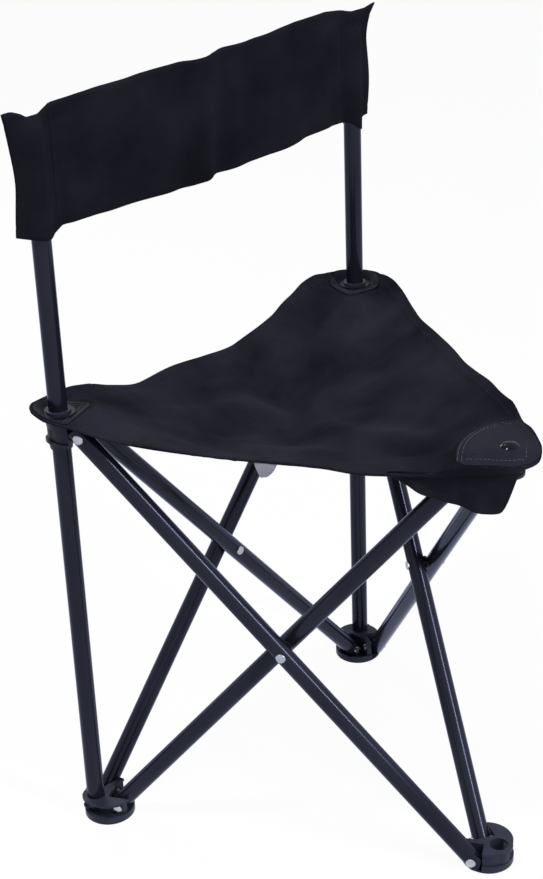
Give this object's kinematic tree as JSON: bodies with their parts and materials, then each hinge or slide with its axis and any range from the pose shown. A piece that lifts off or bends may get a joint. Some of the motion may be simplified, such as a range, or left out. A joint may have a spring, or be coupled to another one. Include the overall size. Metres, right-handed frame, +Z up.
{
  "type": "three leg stool",
  "caption": "Folding stool on crossed steel tubes with three feet, a hanging triangular fabric seat and a narrow fabric backrest between two posts.",
  "frame": {"origin": "on the floor, under the middle of the stool box", "axes": "+Z up; -Y towards the front corner; +X to the right as seen from the front, along the backrest"},
  "size_m": [0.42, 0.3704, 0.668],
  "materials": {
    "hub_plastic": "satin black moulded plastic",
    "tube_paint": "gloss black powder coat on steel tube",
    "rivet_steel": "zinc plated",
    "screw_steel": "black oxide",
    "small_plastic": "black nylon",
    "cap_plastic": "gloss black",
    "patch_vinyl": "black vinyl, satin",
    "tag_cloth": "white satin ribbon, blank",
    "backrest_cloth": "black woven polyester",
    "seat_cloth": "black woven polyester"
  },
  "bodies": {
    "left_foot_and_post": {"foot_hub_left": "hub_plastic", "foot_rivets_left": "rivet_steel", "post_left": "tube_paint", "post_screw_left": "screw_steel", "post_plug_left": "small_plastic", "backrest_sleeve_left": "backrest_cloth", "backrest_panel": "backrest_cloth"},
    "front_foot": {"foot_hub_front": "hub_plastic", "foot_rivets_front": "rivet_steel"},
    "right_foot_and_post": {"foot_hub_right": "hub_plastic", "foot_rivets_right": "rivet_steel", "post_right": "tube_paint", "post_screw_right": "screw_steel", "post_plug_right": "small_plastic", "backrest_sleeve_right": "backrest_cloth"},
    "left_top": {"top_hub_left": "hub_plastic", "top_rivets_left": "rivet_steel", "seat_corner_left": "seat_cloth", "corner_patch_left": "patch_vinyl", "neck_ring_left": "small_plastic"},
    "left_lobe": {"seat_lobe_left": "seat_cloth", "seat_tag": "tag_cloth"},
    "front_top": {"top_hub_front": "hub_plastic", "top_rivets_front": "rivet_steel", "seat_corner_front": "seat_cloth", "corner_patch_front": "patch_vinyl", "front_cap": "cap_plastic", "front_skirt": "seat_cloth"},
    "front_lobe": {"seat_lobe_front": "seat_cloth"},
    "right_top": {"top_hub_right": "hub_plastic", "top_rivets_right": "rivet_steel", "seat_corner_right": "seat_cloth", "corner_patch_right": "patch_vinyl", "neck_ring_right": "small_plastic"},
    "right_lobe": {"seat_lobe_right": "seat_cloth"},
    "left_inner_leg": {"leg_left_inner": "tube_paint"},
    "left_outer_leg": {"leg_left_outer": "tube_paint", "crossing_rivet_left": "rivet_steel", "crossing_spacer_left": "small_plastic"},
    "right_inner_leg": {"leg_right_inner": "tube_paint"},
    "right_outer_leg": {"leg_right_outer": "tube_paint", "crossing_rivet_right": "rivet_steel", "crossing_spacer_right": "small_plastic"},
    "back_inner_leg": {"leg_back_inner": "tube_paint"},
    "back_outer_leg": {"leg_back_outer": "tube_paint", "crossing_rivet_back": "rivet_steel", "crossing_spacer_back": "small_plastic"}
  },
  "joints": [
    {"name": "fold", "type": "hinge", "parent": "left_foot_and_post", "child": "left_inner_leg", "pos_m": [-0.16794, 0.14466, 0.0115], "axis": [-0.866, -0.5, 0], "range_deg": [0, 35.5], "deforming": ["seat_lobe_left", "seat_lobe_front", "seat_lobe_right", "seat_corner_left", "seat_corner_front", "seat_corner_right", "backrest_panel", "seat_tag"]},
    {"name": "left_crossing", "type": "hinge", "parent": "left_inner_leg", "child": "left_outer_leg", "pos_m": [-0.10203, -0.0055, 0.203], "axis": [-0.866, -0.5, 0], "range_deg": [-71, 0]},
    {"name": "left_top_pivot", "type": "hinge", "parent": "left_outer_leg", "child": "left_top", "pos_m": [-0.18353, 0.13566, 0.3945], "axis": [-0.866, -0.5, 0], "range_deg": [0, 35.5]},
    {"name": "front_foot_pivot", "type": "hinge", "parent": "left_outer_leg", "child": "front_foot", "pos_m": [-0.02053, -0.14666, 0.0115], "axis": [-0.866, -0.5, 0], "range_deg": [0, 35.5]},
    {"name": "front_top_pivot", "type": "hinge", "parent": "left_inner_leg", "child": "front_top", "pos_m": [-0.00494, -0.13766, 0.3945], "axis": [-0.866, -0.5, 0], "range_deg": [-35.5, 0]},
    {"name": "back_foot_pivot", "type": "hinge", "parent": "left_foot_and_post", "child": "back_outer_leg", "pos_m": [-0.163, 0.17121, 0.0115], "axis": [0, 1, 0], "range_deg": [-35.5, 0]},
    {"name": "back_crossing", "type": "hinge", "parent": "back_outer_leg", "child": "back_inner_leg", "pos_m": [0, 0.17121, 0.203], "axis": [0, 1, 0], "range_deg": [0, 71]},
    {"name": "right_foot_pivot", "type": "hinge", "parent": "back_inner_leg", "child": "right_foot_and_post", "pos_m": [0.163, 0.15321, 0.0115], "axis": [0, 1, 0], "range_deg": [-35.5, 0]},
    {"name": "right_top_pivot", "type": "hinge", "parent": "back_outer_leg", "child": "right_top", "pos_m": [0.163, 0.17121, 0.3945], "axis": [0, 1, 0], "range_deg": [0, 35.5]},
    {"name": "right_leg_foot_pivot", "type": "hinge", "parent": "right_foot_and_post", "child": "right_outer_leg", "pos_m": [0.18353, 0.13566, 0.0115], "axis": [0.866, -0.5, 0], "range_deg": [-35.5, 0]},
    {"name": "right_crossing", "type": "hinge", "parent": "right_outer_leg", "child": "right_inner_leg", "pos_m": [0.10203, -0.0055, 0.203], "axis": [0.866, -0.5, 0], "range_deg": [0, 71]},
    {"name": "left_lobe_fold", "type": "hinge", "parent": "left_top", "child": "left_lobe", "pos_m": [-0.15382, 0.14221, 0.40675], "axis": [0.5, 0.866, 0], "range_deg": [0, 71]},
    {"name": "front_lobe_fold", "type": "hinge", "parent": "front_top", "child": "front_lobe", "pos_m": [0, -0.12421, 0.40675], "axis": [-1, 0, 0], "range_deg": [0, 71]},
    {"name": "right_lobe_fold", "type": "hinge", "parent": "right_top", "child": "right_lobe", "pos_m": [0.15382, 0.14221, 0.40675], "axis": [0.5, -0.866, 0], "range_deg": [0, 71]}
  ],
  "couplings": [
    {"joint": "left_crossing", "follows": "fold", "ratio": -2},
    {"joint": "left_top_pivot", "follows": "fold", "ratio": 1},
    {"joint": "front_foot_pivot", "follows": "fold", "ratio": 1},
    {"joint": "front_top_pivot", "follows": "fold", "ratio": -1},
    {"joint": "back_foot_pivot", "follows": "fold", "ratio": -1},
    {"joint": "back_crossing", "follows": "fold", "ratio": 2},
    {"joint": "right_foot_pivot", "follows": "fold", "ratio": -1},
    {"joint": "right_top_pivot", "follows": "fold", "ratio": 1},
    {"joint": "right_leg_foot_pivot", "follows": "fold", "ratio": -1},
    {"joint": "right_crossing", "follows": "fold", "ratio": 2},
    {"joint": "left_lobe_fold", "follows": "fold", "ratio": 2},
    {"joint": "front_lobe_fold", "follows": "fold", "ratio": 2},
    {"joint": "right_lobe_fold", "follows": "fold", "ratio": 2}
  ]
}
